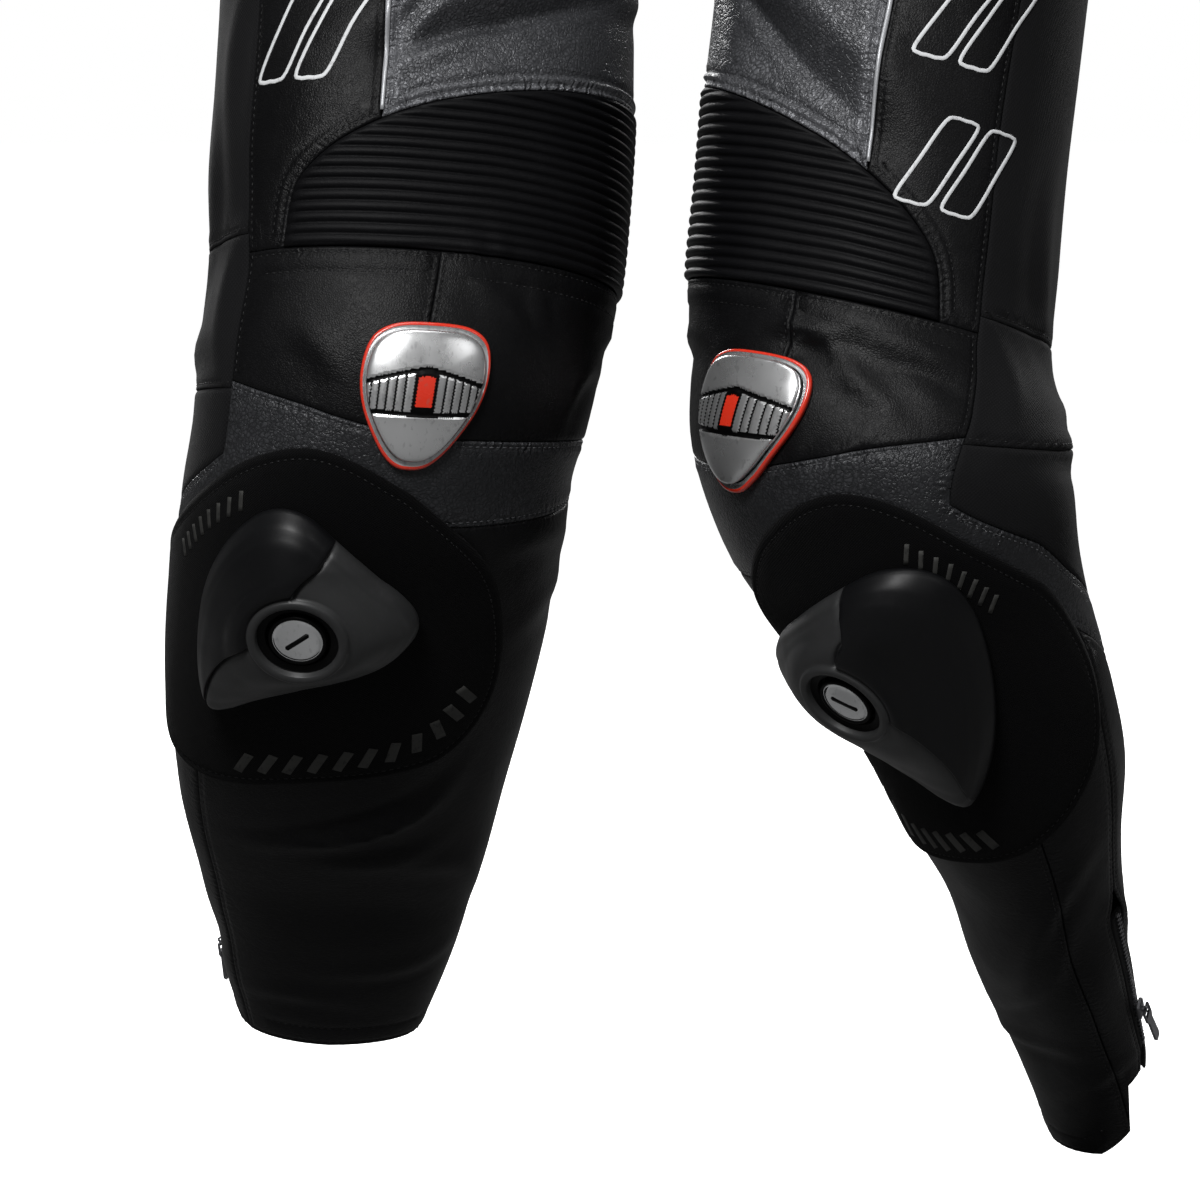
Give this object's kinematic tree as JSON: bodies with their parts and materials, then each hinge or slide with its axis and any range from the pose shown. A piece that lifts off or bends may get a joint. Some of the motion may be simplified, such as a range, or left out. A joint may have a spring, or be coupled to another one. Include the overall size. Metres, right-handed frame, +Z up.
{
  "type": "motorcycle race suit",
  "caption": "One-piece leather motorcycle race suit, hollow and held as if worn, with ribbed knee panels, knee sliders, front and ankle zips.",
  "frame": {"origin": "where the wearer's shoulders carry the suit, on its middle plane at the level of the shoulder seams", "axes": "+Z up, +X to the wearer's left, -Y to the front"},
  "size_m": [0.8222, 0.3407, 1.4971],
  "materials": {
    "black_leather": "satin",
    "pearl_leather": "satin pearl",
    "stretch_fabric": "matt",
    "silver_piping": "satin",
    "loop_pile": "matt pile",
    "slider_plastic": "matt",
    "chrome_plate": "polished",
    "red_plastic": "gloss",
    "silver_plastic": "gloss",
    "zip_tape": "matt",
    "zip_metal": "satin"
  },
  "bodies": {
    "suit": {"back": "black_leather", "collar": "black_leather", "front_zip": "zip_tape", "front_zip_runner": "zip_metal", "left_accordion": "stretch_fabric", "left_ankle_zip": "zip_tape", "left_ankle_zip_runner": "zip_metal", "left_badge_plate": "silver_plastic", "left_badge_rim": "red_plastic", "left_calf_back": "black_leather", "left_calf_gusset": "stretch_fabric", "left_calf_outer": "black_leather", "left_chest_front": "black_leather", "left_forearm": "black_leather", "left_hip_front": "black_leather", "left_knee_back": "stretch_fabric", "left_knee_band": "pearl_leather", "left_knee_inner": "black_leather", "left_knee_outer": "black_leather", "left_piping": "silver_piping", "left_seat": "black_leather", "left_shin": "black_leather", "left_sleeve_upper": "black_leather", "left_slider_body": "slider_plastic", "left_slider_button": "chrome_plate", "left_slider_patch": "loop_pile", "left_thigh_back": "stretch_fabric", "left_thigh_front": "pearl_leather", "left_thigh_outer": "black_leather", "left_yoke_front": "black_leather", "right_accordion": "stretch_fabric", "right_ankle_zip": "zip_tape", "right_ankle_zip_runner": "zip_metal", "right_badge_plate": "silver_plastic", "right_badge_rim": "red_plastic", "right_calf_back": "black_leather", "right_calf_gusset": "stretch_fabric", "right_calf_outer": "black_leather", "right_chest_front": "black_leather", "right_forearm": "black_leather", "right_hip_front": "black_leather", "right_knee_back": "stretch_fabric", "right_knee_band": "pearl_leather", "right_knee_inner": "black_leather", "right_knee_outer": "black_leather", "right_piping": "silver_piping", "right_seat": "black_leather", "right_shin": "black_leather", "right_sleeve_upper": "black_leather", "right_slider_body": "slider_plastic", "right_slider_button": "chrome_plate", "right_slider_patch": "loop_pile", "right_thigh_back": "stretch_fabric", "right_thigh_front": "pearl_leather", "right_thigh_outer": "black_leather", "right_yoke_front": "black_leather", "yoke_back": "black_leather"},
    "front_pull": {"front_zip_pull": "zip_metal"},
    "left_ankle_pull": {"left_ankle_zip_pull": "zip_metal"},
    "right_ankle_pull": {"right_ankle_zip_pull": "zip_metal"}
  },
  "joints": [
    {"name": "front_pull_hinge", "type": "hinge", "parent": "suit", "child": "front_pull", "pos_m": [0, -0.04659, 0.00261], "axis": [-1, 0, 0], "range_deg": [0, 160]},
    {"name": "left_ankle_pull_hinge", "type": "hinge", "parent": "suit", "child": "left_ankle_pull", "pos_m": [0.2457, 0.05771, -1.34979], "axis": [-0.2661, -0.6104, -0.746], "range_deg": [-6, 150]},
    {"name": "right_ankle_pull_hinge", "type": "hinge", "parent": "suit", "child": "right_ankle_pull", "pos_m": [-0.22583, 0.09512, -1.32009], "axis": [0.4358, 0.7188, 0.5417], "range_deg": [0, 160]}
  ]
}
